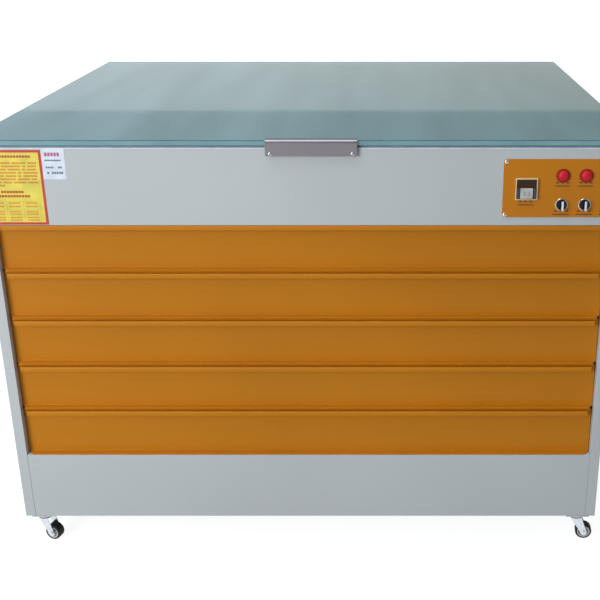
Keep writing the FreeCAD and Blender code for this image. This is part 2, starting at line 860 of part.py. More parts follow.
def clip_screw_spots():
    for side in (-1, 1):
        yield f"clip_centre + {side} * clip_screw_pitch / 2"


def handle_clip():
    clip = folded([
        ("-clip_face", "clip_low"),
        ("-clip_face", "glass_high + clip_sheet"),
        ("clip_flange - clip_face", "glass_high + clip_sheet"),
        ("clip_flange - clip_face", "glass_high"),
        ("-clip_standoff", "glass_high"),
        ("-clip_standoff", "clip_low"),
    ], "clip_width", {"clip_bend": [1], "clip_bend - clip_sheet": [4]})
    move(clip, "clip_centre")
    jaw = folded([
        ("-clip_standoff", "clip_low"),
        ("-clip_standoff", "glass_low"),
        ("jaw_reach - clip_standoff", "glass_low"),
        ("jaw_reach - clip_standoff", "glass_low - jaw_sheet"),
        ("jaw_sheet - clip_standoff", "glass_low - jaw_sheet"),
        ("jaw_sheet - clip_standoff", "clip_low"),
    ], "clip_width")
    move(jaw, "clip_centre")
    z = "clip_low + clip_screw_rise"

    def drills():
        return [rod("y", (x, "-flange", z), "clip_screw_radius + screw_slack", "2 * flange")
                for x in clip_screw_spots()]
    node("handle_clip", cut(clip, *drills()))
    node("clip_jaw", cut(jaw, *drills()))
    screws = [move(dome_screw("clip_head_radius", "clip_head", "clip_screw_radius", "clip_sheet + jaw_sheet"),
                   x, "-clip_face", z)
              for x in clip_screw_spots()]
    node("clip_screws", group(*screws))


def drawer_front(number):
    """A recessed face with a ledge at its foot and a lip above it, which folds down to pull the drawer by."""
    low = f"{drawer_base(number)} + {'lowest_lift' if number == DRAWERS else 'face_lift'}"
    top = f"{drawer_base(number)} + drawer_pitch {'- first_lip_drop' if number == 1 else '+ lip_rise'}"
    points = [
        ("ledge_front", low),
        ("ledge_front", f"{low} + sheet"),
        ("recess", f"{low} + sheet"),
        ("recess", f"{top} - sheet"),
        ("sheet - lip_front", f"{top} - sheet"),
        ("sheet - lip_front", f"{top} - lip_edge"),
        ("-lip_front", f"{top} - lip_edge"),
        ("-lip_front", top),
        ("recess + sheet + lip_return", top),
        ("recess + sheet + lip_return", f"{top} - sheet"),
        ("recess + sheet", f"{top} - sheet"),
        ("recess + sheet", low),
    ]
    node(f"drawer_front_{number}", folded(points, "2 * (opening - drawer_slack)", {"lip_bend": [7, 11]}))


def drawer_frame(number):
    """Four angles that butt at the corners, and rods from front to back that the screens lie on."""
    low = f"{drawer_base(number)} + frame_rise"
    flat = (low, f"{low} + angle_sheet")
    upright = (f"{low} + angle_sheet", f"{low} + angle_leg")
    parts = []
    for side in (-1, 1):
        y = ("frame_front", "frame_back")
        parts.append(fuse(box(both_ways("frame_half - angle_leg", "frame_half", side), y, flat),
                          box(both_ways("frame_half - angle_sheet", "frame_half", side), y, upright)))
    flat_x = ("-(frame_half - angle_leg)", "frame_half - angle_leg")
    upright_x = ("-(frame_half - angle_sheet)", "frame_half - angle_sheet")
    parts.append(fuse(box(flat_x, ("frame_front", "frame_front + angle_leg"), flat),
                      box(upright_x, ("frame_front", "frame_front + angle_sheet"), upright)))
    parts.append(fuse(box(flat_x, ("frame_back - angle_leg", "frame_back"), flat),
                      box(upright_x, ("frame_back - angle_sheet", "frame_back"), upright)))
    for place in range(GRID_RODS):
        x = f"2 * frame_half * ({place + 1} / {GRID_RODS + 1} - 0.5)"
        parts.append(rod("y", (x, "frame_front + angle_sheet", f"{low} + angle_sheet + grid_rod_radius"),
                         "grid_rod_radius", "frame_back - frame_front - 2 * angle_sheet"))
    node(f"drawer_frame_{number}", group(*parts))


def caster_spots():
    """Each caster's place and the way its wheel trails at rest."""
    front = "caster_inset_front"
    back = "depth - caster_inset_front"
    side = "half - caster_inset_side"
    yield f"-({side})", front, "front_left_turn"
    yield side, front, "front_right_turn"
    yield f"-({side})", back, "back_left_turn"
    yield side, back, "back_right_turn"


def caster_plates():
    plates = []
    for x, y, turn in caster_spots():
        plate = box(("-caster_plate_length / 2", "caster_plate_length / 2"),
                    ("-caster_plate_width / 2", "caster_plate_width / 2"), ("-caster_plate", "0"))
        race = turned("z", [
            ("0", "-race_low"),
            ("race_radius - race_round", "-race_low"),
            ("race_radius", "race_round - race_low"),
            ("race_radius", "-caster_plate"),
            ("0", "-caster_plate"),
        ])
        bore = rod("z", ("0", "0", "-2 * race_low"), "king_pin_radius + running_slack", "3 * race_low")
        plates.append(move(cut(fuse(plate, race), bore), x, y, "0"))
    node("caster_plates", group(*plates))


def caster_leg(side):
    """One leg of the fork, from the plate under the race to the boss at the axle."""
    body = doc.addObject("PartDesign::Body", "Leg")
    sketch = outline(body, "XZ_Plane", [
        ("-fork_root", "-fork_top"),
        ("-fork_root", "-(fork_top + fork_sheet)"),
        ("trail - boss_radius", "-axle_z"),
        ("trail + boss_radius", "-axle_z"),
        ("fork_root", "-fork_top"),
    ])
    pad = body.newObject("PartDesign::Pad", "Leg")
    pad.Profile = sketch
    bind(pad, "Length", "fork_sheet")
    start = "-leg_inner" if side < 0 else "leg_outer"
    move(body, "0", start, "0")
    boss = rod("y", ("trail", "leg_inner" if side > 0 else "-leg_outer", "-axle_z"), "boss_radius", "fork_sheet")
    return fuse(body, boss)


def caster(number, x, y, turn):
    crown = rod("z", ("0", "0", "-(fork_top + fork_sheet)"), "fork_radius", "fork_sheet")
    king_pin = rod("z", ("0", "0", "-(fork_top + fork_sheet)"), "king_pin_radius",
                   "fork_sheet + race_height")
    bore = rod("y", ("trail", "-fork_gap", "-axle_z"), "axle_radius", "2 * fork_gap")
    fork = cut(fuse(crown, king_pin, caster_leg(-1), caster_leg(1)), bore)
    axle = rod("y", ("trail", "-leg_outer", "-axle_z"), "axle_radius", "2 * leg_outer")
    heads = [rod("y", ("trail", start, "-axle_z"), "axle_head_radius", "axle_head")
             for start in ("-leg_outer - axle_head", "leg_outer")]
    at = (x, y, "0")
    node(f"caster_fork_{number}", group(fork, fuse(axle, *heads)), at, turn)
    rim = "wheel_radius - tyre_thick"
    half_width = "tyre_width / 2"
    boss = "leg_inner - hub_slack"
    bore_radius = "axle_radius + running_slack"
    hub = turned("y", [
        (bore_radius, f"-({boss})"),
        ("hub_radius", f"-({boss})"),
        ("hub_radius", "-hub_web / 2"),
        (f"{rim} - hub_rim", "-hub_web / 2"),
        (f"{rim} - hub_rim", f"rim_step - {half_width}"),
        (rim, f"rim_step - {half_width}"),
        (rim, f"{half_width} - rim_step"),
        (f"{rim} - hub_rim", f"{half_width} - rim_step"),
        (f"{rim} - hub_rim", "hub_web / 2"),
        ("hub_radius", "hub_web / 2"),
        ("hub_radius", boss),
        (bore_radius, boss),
    ])
    step = f"{MID_ROUND:.4f} * tyre_round"
    tyre = turned("y", [
        (rim, f"-({half_width})"),
        ("wheel_radius - tyre_round", f"-({half_width})"),
        (f"wheel_radius - {step}", f"{step} - {half_width}"),
        ("wheel_radius", f"-({half_width} - tyre_round)"),
        ("wheel_radius", f"{half_width} - tyre_round"),
        (f"wheel_radius - {step}", f"{half_width} - {step}"),
        ("wheel_radius - tyre_round", half_width),
        (rim, half_width),
    ])
    move(hub, "trail", "0", "-axle_z")
    move(tyre, "trail", "0", "-axle_z")
    node(f"caster_wheel_{number}", group(hub), at, turn)
    node(f"caster_tyre_{number}", group(tyre), at, turn)


side_panel("left_side_panel", -1)
side_panel("right_side_panel", 1)
back_panel()
base_pan()
plinth_panel()
front_fascia()
light_tray()
lights()
glass_seal()
runner_rack("left_runner_rack", -1)
runner_rack("right_runner_rack", 1)
air_floor()
heaters()
fan()
control_plate()
control_screws()
controller()
for spot in range(CONTROLS):
    pilot_lamp(spot)
    selector_knob(spot)
selector_bodies()
label("instruction_plate", "instruction_left", "instruction_width", "fascia_bottom + instruction_rise",
      "body_height - instruction_drop")
label("rating_plate", "rating_left", "rating_width", "body_height - rating_drop - rating_height",
      "body_height - rating_drop")
cable_gland()
hinges()
glass_plate()
handle_clip()
for place in range(1, DRAWERS + 1):
    drawer_front(place)
    drawer_frame(place)
caster_plates()
for place, spot in enumerate(caster_spots(), start=1):
    caster(place, *spot)
doc.recompute()

for thing in doc.Objects:
    if "Invalid" in thing.State or "Error" in thing.State:
        raise RuntimeError(f"{thing.Name} ({thing.Label}) failed: {thing.State}")
for thing in nodes:
    if thing.Shape.isNull() or not thing.Shape.isValid():
        raise RuntimeError(f"{thing.Label} has no valid shape")
os.makedirs("parts", exist_ok=True)
for thing in nodes:
    thing.Shape.exportStep(f"parts/{thing.Label}.step")
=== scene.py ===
"""Looks of the screen drying cabinet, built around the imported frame. Metres, in the frame's own axes."""
import math

import bmesh
import bpy
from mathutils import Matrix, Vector


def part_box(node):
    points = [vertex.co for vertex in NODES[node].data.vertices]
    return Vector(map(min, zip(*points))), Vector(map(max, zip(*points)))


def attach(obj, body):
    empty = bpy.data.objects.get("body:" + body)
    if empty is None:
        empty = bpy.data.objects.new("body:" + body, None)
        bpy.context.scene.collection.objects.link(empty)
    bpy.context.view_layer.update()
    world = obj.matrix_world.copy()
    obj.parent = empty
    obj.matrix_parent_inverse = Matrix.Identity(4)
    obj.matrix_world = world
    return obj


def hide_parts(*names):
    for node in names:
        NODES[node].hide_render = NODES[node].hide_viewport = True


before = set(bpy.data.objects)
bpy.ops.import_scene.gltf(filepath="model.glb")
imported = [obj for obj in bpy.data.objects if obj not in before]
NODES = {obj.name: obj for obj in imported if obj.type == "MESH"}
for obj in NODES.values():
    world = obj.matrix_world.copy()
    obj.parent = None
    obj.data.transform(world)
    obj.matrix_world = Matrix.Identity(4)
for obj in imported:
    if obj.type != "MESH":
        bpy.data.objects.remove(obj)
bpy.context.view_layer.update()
MM = 0.001

# Datum of the cabinet: the middle of its front face, at its lower edge
fascia_low, fascia_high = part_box("front_fascia")
panel_low, panel_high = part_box("left_side_panel")
DATUM = Vector(((fascia_low.x + fascia_high.x) / 2, fascia_low.y, panel_low.z))


def at(x, y, z):
    """A point given in millimetres from the cabinet's datum."""
    return DATUM + Vector((x, y, z)) * MM


def linear(red, green, blue):
    """A colour written as it shows on screen, 0 to 255, as linear light."""
    shares = [value / 255 for value in (red, green, blue)]
    return [share / 12.92 if share < 0.04 else ((share + 0.055) / 1.055) ** 2.4 for share in shares] + [1]


# Camera: fitted to the photo's straight edges
CAMERA_AT = (183.6, -2121.3, 1390.2)
CAMERA_PITCH = 21.14
FOCAL_PIXELS = 1006.9
MIDDLE_PIXEL = 385
FRAME_PIXELS = 600
SENSOR = 36


def make_camera():
    data = bpy.data.cameras.new("camera")
    data.sensor_width = SENSOR
    data.lens = FOCAL_PIXELS / FRAME_PIXELS * SENSOR
    data.shift_x = (FRAME_PIXELS / 2 - MIDDLE_PIXEL) / FRAME_PIXELS
    data.clip_end = 50
    camera = bpy.data.objects.new("camera", data)
    camera.location = at(*CAMERA_AT)
    camera.rotation_euler = (math.radians(90 - CAMERA_PITCH), 0, 0)
    bpy.context.scene.collection.objects.link(camera)
    bpy.context.scene.camera = camera


# Materials
def new_material(name):
    material = bpy.data.materials.new(name)
    material.use_nodes = True
    tree = material.node_tree
    return material, tree, tree.nodes["Principled BSDF"]


def noise(tree, scale, detail=2.0, stretch=(1, 1, 1)):
    """Soft noise over the object's own place in the frame."""
    spot = tree.nodes.new("ShaderNodeTexCoord")
    mapping = tree.nodes.new("ShaderNodeMapping")
    mapping.inputs["Scale"].default_value = stretch
    texture = tree.nodes.new("ShaderNodeTexNoise")
    texture.inputs["Scale"].default_value = scale
    texture.inputs["Detail"].default_value = detail
    tree.links.new(spot.outputs["Object"], mapping.inputs["Vector"])
    tree.links.new(mapping.outputs["Vector"], texture.inputs["Vector"])
    return texture.outputs["Fac"]


def blend_colours(tree, share, first, second):
    """The first colour where the share is low and the second where it is high."""
    ramp = tree.nodes.new("ShaderNodeValToRGB")
    ramp.color_ramp.elements[0].position = 0.3
    ramp.color_ramp.elements[0].color = first
    ramp.color_ramp.elements[1].position = 0.7
    ramp.color_ramp.elements[1].color = second
    tree.links.new(share, ramp.inputs["Fac"])
    return ramp.outputs["Color"]


def spread(tree, share, low, high):
    reach = tree.nodes.new("ShaderNodeMapRange")
    reach.inputs["To Min"].default_value = low
    reach.inputs["To Max"].default_value = high
    tree.links.new(share, reach.inputs["Value"])
    return reach.outputs["Result"]


def relief(tree, shader, height, strength, distance):
    bump = tree.nodes.new("ShaderNodeBump")
    bump.inputs["Strength"].default_value = strength
    bump.inputs["Distance"].default_value = distance
    tree.links.new(height, bump.inputs["Height"])
    tree.links.new(bump.outputs["Normal"], shader.inputs["Normal"])


def shade(tone, factor):
    return [min(1, part * factor) for part in tone[:3]] + [1]


def paint(name, tone, roughness=0.42, mottle=0.04, peel=0.1, gloss=0.35):
    """Powder coat: an even colour with faint clouds and a fine orange peel."""
    material, tree, shader = new_material(name)
    shader.inputs["Specular IOR Level"].default_value = gloss
    clouds = noise(tree, 2.2, 4)
    tree.links.new(blend_colours(tree, clouds, shade(tone, 1 - mottle), shade(tone, 1 + mottle)),
                   shader.inputs["Base Color"])
    tree.links.new(spread(tree, noise(tree, 9, 3), roughness - 0.05, roughness + 0.06),
                   shader.inputs["Roughness"])
    relief(tree, shader, noise(tree, 420, 1), peel, 0.0004)
    return material


def metal(name, tone, roughness=0.3, stretch=(1, 1, 1), scratch=0.12, scale=300, dark=0.86, light=1.1):
    """Bare metal whose fine scratches run along the axis with the smallest stretch."""
    material, tree, shader = new_material(name)
    shader.inputs["Metallic"].default_value = 1
    lines = noise(tree, scale, 3, stretch)
    tree.links.new(blend_colours(tree, lines, shade(tone, dark), shade(tone, light)),
                   shader.inputs["Base Color"])
    tree.links.new(spread(tree, lines, roughness - 0.08, roughness + 0.1), shader.inputs["Roughness"])
    relief(tree, shader, lines, scratch, 0.0002)
    return material


def plastic(name, tone, roughness=0.45, grain=0.08, scale=900, coat=0.0, gloss=0.5):
    """Moulded plastic or rubber with a fine grain."""
    material, tree, shader = new_material(name)
    tree.links.new(blend_colours(tree, noise(tree, 40, 3), shade(tone, 0.9), shade(tone, 1.12)),
                   shader.inputs["Base Color"])
    tree.links.new(spread(tree, noise(tree, 60, 2), roughness - 0.06, roughness + 0.08),
                   shader.inputs["Roughness"])
    shader.inputs["Coat Weight"].default_value = coat
    shader.inputs["Specular IOR Level"].default_value = gloss
    relief(tree, shader, noise(tree, scale, 2), grain, 0.0003)
    return material


def map_range(tree, value, low, high):
    """A value brought from its own span to 0 and 1."""
    scale = tree.nodes.new("ShaderNodeMapRange")
    scale.inputs["From Min"].default_value = low
    scale.inputs["From Max"].default_value = high
    tree.links.new(value, scale.inputs["Value"])
    return scale.outputs["Result"]


def two_tones(tree, share, first, second):
    """A colour between two, each of them a plain colour or a socket."""
    mix = tree.nodes.new("ShaderNodeMix")
    mix.data_type = "RGBA"
    tree.links.new(share, mix.inputs["Factor"])
    for name, tone in (("A", first), ("B", second)):
        if isinstance(tone, (tuple, list)):
            mix.inputs[name].default_value = tone
        else:
            tree.links.new(tone, mix.inputs[name])
    return mix.outputs["Result"]


def glass_material():
    """A thick teal pane, denser the flatter it is looked at. Its polished edges are painted paler as a painted
    highlight, its chamfers are painted darker as painted shade with less gloss, and its face has wiped dust streaks
    that also paint in streaky reflections.
    """
    material, tree, shader = new_material("glass_pane")
    # Wiped dust streaks along the depth, whose colour also paints in the streaky reflections on the glass top
    dust_and_reflection_streaks = noise(tree, 4, 5, (2.4, 0.25, 1))
    face = blend_colours(tree, dust_and_reflection_streaks, linear(70, 106, 111), linear(95, 131, 137))
    # Painted highlight: the upright edges get a paler teal than the flat faces
    edge = blend_colours(tree, noise(tree, 12, 2), linear(132, 182, 196), linear(150, 198, 210))
    normal = tree.nodes.new("ShaderNodeNewGeometry")
    parts = tree.nodes.new("ShaderNodeSeparateXYZ")
    tree.links.new(normal.outputs["True Normal"], parts.inputs["Vector"])
    flat = tree.nodes.new("ShaderNodeMath")
    flat.operation = "ABSOLUTE"
    tree.links.new(parts.outputs["Z"], flat.inputs[0])
    mix = tree.nodes.new("ShaderNodeMix")
    mix.data_type = "RGBA"
    tree.links.new(flat.outputs[0], mix.inputs["Factor"])
    tree.links.new(edge, mix.inputs["A"])
    tree.links.new(face, mix.inputs["B"])
    # Painted shade: faces slanted between flat and upright, the chamfers, turn dark teal and lose most of their gloss
    arris_shade = tree.nodes.new("ShaderNodeMath")
    arris_shade.operation = "PINGPONG"
    arris_shade.inputs[1].default_value = 0.5
    tree.links.new(flat.outputs[0], arris_shade.inputs[0])
    arris_shade_share = map_range(tree, arris_shade.outputs[0], 0.1, 0.28)
    tree.links.new(two_tones(tree, arris_shade_share, mix.outputs["Result"], linear(34, 62, 68)), shader.inputs["Base Color"])
    tree.links.new(spread(tree, arris_shade_share, 0.5, 0.05), shader.inputs["Specular IOR Level"])
    slant = tree.nodes.new("ShaderNodeLayerWeight")
    slant.inputs["Blend"].default_value = 0.5
    tree.links.new(spread(tree, slant.outputs["Facing"], 0.6, 1.0), shader.inputs["Alpha"])
    tree.links.new(spread(tree, dust_and_reflection_streaks, 0.01, 0.05), shader.inputs["Roughness"])
    shader.inputs["IOR"].default_value = 1.52
    return material


def lens_material():
    material, tree, shader = new_material("lamp_lens")
    tree.links.new(blend_colours(tree, noise(tree, 260, 1), linear(180, 20, 34), linear(200, 26, 42)),
                   shader.inputs["Base Color"])
    shader.inputs["Roughness"].default_value = 0.42
    shader.inputs["Specular IOR Level"].default_value = 0.25
    shader.inputs["Emission Color"].default_value = linear(190, 20, 40)
    shader.inputs["Emission Strength"].default_value = 0.16
    return material


GREY = paint("grey_paint", linear(190, 195, 198))
OCHRE = paint("ochre_paint", linear(194, 122, 20), 0.42, 0.05, 0.1, 0.2)
PANEL_OCHRE = paint("panel_ochre", linear(197, 122, 24), 0.4, 0.03, 0.04, 0.2)
WHITE = paint("white_enamel", linear(228, 230, 228), 0.35)
STEEL = metal("brushed_stainless", linear(150, 148, 151), 0.34, (0.05, 1, 1))
CLIP_STEEL = metal("clip_stainless", linear(130, 127, 132), 0.36, (0.02, 1, 1), 0.05, 1400, 0.94, 1.05)
ZINC = metal("zinc_plate", linear(178, 178, 180), 0.34, (1, 1, 0.3), 0.1, 160)
GALVANISED = metal("galvanised_steel", linear(166, 170, 172), 0.42, (1, 1, 1), 0.1, 60)
CHROME = metal("polished_ring", linear(206, 203, 196), 0.26, (1, 1, 1), 0.04, 200)
BRIGHT = metal("bright_zinc", linear(206, 213, 219), 0.26, (1, 1, 1), 0.05, 160)
DARK_RECESS = plastic("recess_shadow", linear(52, 50, 50), 0.6)
BLACK = plastic("black_plastic", linear(17, 18, 26), 0.45, 0.1, gloss=0.3)
GLOSS_BLACK = plastic("smoked_window", linear(56, 32, 16), 0.3, 0.0, 400, 0.0, 0.2)
CREAM = plastic("cream_plastic", linear(206, 190, 148), 0.42)
WHEEL_GREY = plastic("wheel_grey", linear(204, 206, 206), 0.45)
GREY_PLASTIC = plastic("grey_plastic", linear(160, 162, 165), 0.45)
PALE_PLASTIC = plastic("pale_plastic", linear(186, 184, 178), 0.42)
SLATE = plastic("slate_plastic", linear(48, 54, 66), 0.45)
RUBBER = plastic("black_rubber", linear(22, 21, 22), 0.62, 0.16, 500, 0.0, 0.3)
SEAL = plastic("glass_seal", linear(140, 172, 182), 0.5, 0.05, 500)
# Painted highlight: a paler, bluer grey than the fascia's paint, for the light that the fascia's top bend catches
EDGE_HIGHLIGHT = plastic("painted_edge_highlight", linear(214, 220, 230), 0.4, 0.03, 300)
YELLOW = plastic("yellow_film", linear(223, 207, 80), 0.36, 0.02, 300, 0.1)
LABEL_WHITE = plastic("white_film", linear(214, 222, 236), 0.4, 0.02, 300, 0.1)
TUBE = plastic("tube_glass", linear(236, 238, 236), 0.25, 0.0, 300, 0.3)
GLASS = glass_material()
LENS = lens_material()
DARK_RED = plastic("dark_red_bezel", linear(135, 30, 18), 0.45, 0.08, 900, 0.0, 0.3)
DEEP_INK = plastic("deep_red_ink", linear(176, 50, 18), 0.42, 0.02)
RED_INK = plastic("red_ink", linear(190, 50, 38), 0.42, 0.02)
ORANGE_INK = plastic("orange_ink", linear(206, 132, 40), 0.42, 0.02)
PINK_INK = plastic("pink_ink", linear(176, 84, 128), 0.42, 0.02)
DARK_INK = plastic("dark_ink", linear(84, 46, 22), 0.42, 0.02)
SLATE_INK = plastic("slate_ink", linear(92, 102, 124), 0.42, 0.02)
WHITE_INK = plastic("white_ink", linear(236, 238, 242), 0.35, 0.02)

FINISHES = {
    "left_side_panel": GREY,
    "right_side_panel": GREY,
    "back_panel": GREY,
    "base_pan": GREY,
    "plinth_panel": GREY,
    "front_fascia": GREY,
    "light_tray": WHITE,
    "light_tubes": TUBE,
    "lamp_holders": PALE_PLASTIC,
    "glass_seal": SEAL,
    "left_runner_rack": GALVANISED,
    "right_runner_rack": GALVANISED,
    "air_floor": GALVANISED,
    "heater_elements": STEEL,
    "fan_motor": GALVANISED,
    "fan_impeller": GALVANISED,
    "control_plate": PANEL_OCHRE,
    "control_screws": ZINC,
    "controller_case": CREAM,
    "controller_window": GLOSS_BLACK,
    "selector_bodies": CHROME,
    "instruction_plate": YELLOW,
    "rating_plate": LABEL_WHITE,
    "cable_gland": BLACK,
    "hinge_cabinet_leaves": ZINC,
    "hinge_lid_leaves": ZINC,
    "hinge_pins": STEEL,
    "caster_plates": ZINC,
    "glass_plate": GLASS,
    "handle_clip": CLIP_STEEL,
    "clip_jaw": CLIP_STEEL,
    "clip_screws": ZINC,
}
FAMILIES = {
    "drawer_front": OCHRE,
    "drawer_frame": GALVANISED,
    "caster_fork": BRIGHT,
    "caster_wheel": WHEEL_GREY,
    "caster_tyre": RUBBER,
    "pilot_lamp": LENS,
    "selector_knob": BLACK,
}
# How wide each sheet or moulding is rounded at its edges, in millimetres
SOFT_EDGES = {
    "front_fascia": 0.65,
    "left_side_panel": 0.65,
    "right_side_panel": 0.65,
    "back_panel": 0.5,
    "plinth_panel": 0.6,
    "control_plate": 0.45,
    "instruction_plate": 0.15,
    "rating_plate": 0.15,
    "controller_case": 0.7,
    "light_tray": 0.6,
    "lamp_holders": 1.2,
    "glass_seal": 0.8,
    "hinge_cabinet_leaves": 0.5,
    "hinge_lid_leaves": 0.5,
    "caster_plates": 0.5,
    "clip_jaw": 0.4,
    "drawer_frame": 0.4,
    "caster_fork": 0.4,
}
SHARP = math.radians(35)


def family(node):
    """A node's name without the number at its end."""
    return node.rstrip("0123456789").rstrip("_")


def soften(thing, width, segments=2):
    """Round the edges of a flat-sided mesh, and keep its flat faces flat to look at."""
    weld = thing.modifiers.new("weld", "WELD")
    weld.merge_threshold = 0.00001
    merge = thing.modifiers.new("flats", "DECIMATE")
    merge.decimate_type = "DISSOLVE"
    merge.angle_limit = math.radians(0.5)
    rounding = thing.modifiers.new("bevel", "BEVEL")
    rounding.width = width * MM
    rounding.segments = segments
    rounding.limit_method = "ANGLE"
    rounding.angle_limit = SHARP
    flatten = thing.modifiers.new("normals", "WEIGHTED_NORMAL")
    flatten.keep_sharp = True


def dress_nodes():
    for name, node in NODES.items():
        material = FINISHES.get(name) or FAMILIES[family(name)]
        node.data.materials.clear()
        node.data.materials.append(material)
        width = SOFT_EDGES.get(name) or SOFT_EDGES.get(family(name))
        if width:
            soften(node, width)


# Pieces made here
def piece(name, vertices, faces, material, body, smooth=False):
    """A mesh in the cabinet's millimetres that rides on a body."""
    mesh = bpy.data.meshes.new(name)
    mesh.from_pydata([at(*vertex) for vertex in vertices], [], faces)
    mesh.materials.append(material)
    turned = bmesh.new()
    turned.from_mesh(mesh)
    bmesh.ops.recalc_face_normals(turned, faces=turned.faces)
    turned.to_mesh(mesh)
    turned.free()
    thing = bpy.data.objects.new(name, mesh)
    bpy.context.scene.collection.objects.link(thing)
    if smooth:
        mesh.polygons.foreach_set("use_smooth", [True] * len(mesh.polygons))
        mesh.set_sharp_from_angle(angle=SHARP)
        flatten = thing.modifiers.new("normals", "WEIGHTED_NORMAL")
        flatten.keep_sharp = True
    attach(thing, body)
    return thing


def left_of(way):
    """The direction a quarter turn to the left."""
    return Vector((-way.y, way.x))


def sheet_outline(path, thick, bend, steps=6):
    """The closed outline of a sheet that follows a path, with round bends at the path's corners."""
    spots = [Vector(spot) for spot in path]
    line = [(spots[0], (spots[1] - spots[0]).normalized())]
    for before, corner, after in zip(spots, spots[1:], spots[2:]):
        into = (corner - before).normalized()
        out = (after - corner).normalized()
        turn = math.atan2(into.cross(out), into.dot(out))
        side = math.copysign(1, turn)
        centre = corner - into * bend * math.tan(abs(turn) / 2) + left_of(into) * bend * side
        for step in range(steps + 1):
            angle = turn * step / steps
            way = into * math.cos(angle) + left_of(into) * math.sin(angle)
            line.append((centre - left_of(way) * bend * side, way))
    line.append((spots[-1], (spots[-1] - spots[-2]).normalized()))
    one_side = [spot + left_of(way) * thick / 2 for spot, way in line]
    other_side = [spot - left_of(way) * thick / 2 for spot, way in line]
    return one_side + other_side[::-1]


def extruded(name, outline, low, high, material, body, inset=None):
    """An outline in Y and Z carried along X; inset says how far each end is cut back at a place in Y."""
    count = len(outline)
    vertices = []
    for end, way in ((low, 1), (high, -1)):
        vertices += [(end + way * (inset(spot.x) if inset else 0), spot.x, spot.y) for spot in outline]
    faces = [(index, (index + 1) % count, count + (index + 1) % count, count + index) for index in range(count)]
    faces += [tuple(range(count)), tuple(range(count, 2 * count))]
    return piece(name, vertices, faces, material, body, True)


def block_mesh(low, high, start=0):
    """The corners and faces of a box, with its faces counted from a start."""
    corners = [(x, y, z) for x in (low[0], high[0]) for y in (low[1], high[1]) for z in (low[2], high[2])]
    faces = [(0, 1, 3, 2), (4, 6, 7, 5), (0, 4, 5, 1), (2, 3, 7, 6), (0, 2, 6, 4), (1, 5, 7, 3)]
    return corners, [tuple(start + index for index in face) for face in faces]


def blocks(name, spans, material, body, bevel=0.0):
    """Several boxes as one piece."""
    vertices = []
    faces = []
    for low, high in spans:
        corners, sides = block_mesh(low, high, len(vertices))
        vertices += corners
        faces += sides
    thing = piece(name, vertices, faces, material, body)
    if bevel:
        rounding = thing.modifiers.new("bevel", "BEVEL")
        rounding.width = bevel * MM
        rounding.segments = 3
    return thing


def lathe_mesh(centre, profile, start=0, turns=64):
    """Rings about the Y axis from an outline as radius and place along Y, and the faces between them."""
    vertices = []
    faces = []
    for radius, along in profile:
        for turn in range(turns):
            angle = 2 * math.pi * turn / turns
            vertices.append((centre[0] + radius * math.cos(angle), centre[1] + along,
                             centre[2] + radius * math.sin(angle)))
    for ring in range(len(profile) - 1):
        for turn in range(turns):
            following = (turn + 1) % turns
            low, high = start + ring * turns, start + (ring + 1) * turns
            faces.append((low + turn, low + following, high + following, high + turn))
    last = start + len(vertices)
    faces.append(tuple(range(start, start + turns)))
    faces.append(tuple(range(last - turns, last)))
    return vertices, faces


def lathe(name, centre, profile, material, body):
    """A piece turned about the Y axis from its outline as radius and place along Y, both in millimetres."""
    vertices, faces = lathe_mesh(centre, profile)
    return piece(name, vertices, faces, material, body, True)


def dome(radius, height, front, steps=7):
    """A dome's outline from its rim to near its middle, rising towards -Y."""
    outline = []
    for step in range(steps):
        angle = math.pi / 2 * step / steps
        outline.append((radius * math.cos(angle), front - height * math.sin(angle)))
    return outline


def extent(name):
    """A node's box in the cabinet's millimetres."""
    low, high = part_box(name)
    return (low - DATUM) / MM, (high - DATUM) / MM


SHEET = 1.5
LIP_CUT = 0.7
LIP_EDGE = 10.5
LIP_BEND = 1.9
STRIP_BEHIND_LIP = 11
STRIP_RISE = 5.4
FACE_BEND = 2.6


def drawer_fronts():
    """Two folded sheets: the face with the ledge at its foot, and the lip with its return behind the face.

    A low strip on the return closes the view into the gap under the next drawer.
    """
    half = SHEET / 2
    for number in range(1, 6):
        name = f"drawer_front_{number}"
        body = f"drawer_{number}"
        low, high = extent(name)
        face = extent(f"drawer_frame_{number}")[0].y - half
        sheet = extruded(f"drawer_sheet_{number}", sheet_outline([
            (low.y + SHEET, low.z + half),
            (face, low.z + half),
            (face, high.z - SHEET),
        ], SHEET, FACE_BEND), low.x, high.x, OCHRE, body,
            lambda y, face=face: max(0, face - SHEET - y) * LIP_CUT)
        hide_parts(name)
        extruded(f"drawer_lip_{number}", sheet_outline([
            (high.y, high.z - half),
            (low.y + half, high.z - half),
            (low.y + half, high.z - LIP_EDGE),
        ], SHEET, LIP_BEND), low.x, high.x, OCHRE, body,
            lambda y, face=face: max(0, face - SHEET - y) * LIP_CUT)
        if number > 1:
            front, foot = low.y + STRIP_BEHIND_LIP, high.z - half
            extruded(f"drawer_strip_{number}", [
                Vector((front, foot)),
                Vector((front, high.z + STRIP_RISE)),
                Vector((front + SHEET, high.z + STRIP_RISE)),
                Vector((front + SHEET, foot)),
            ], low.x, high.x, OCHRE, body, lambda y, face=face: max(0, face - y) * LIP_CUT)


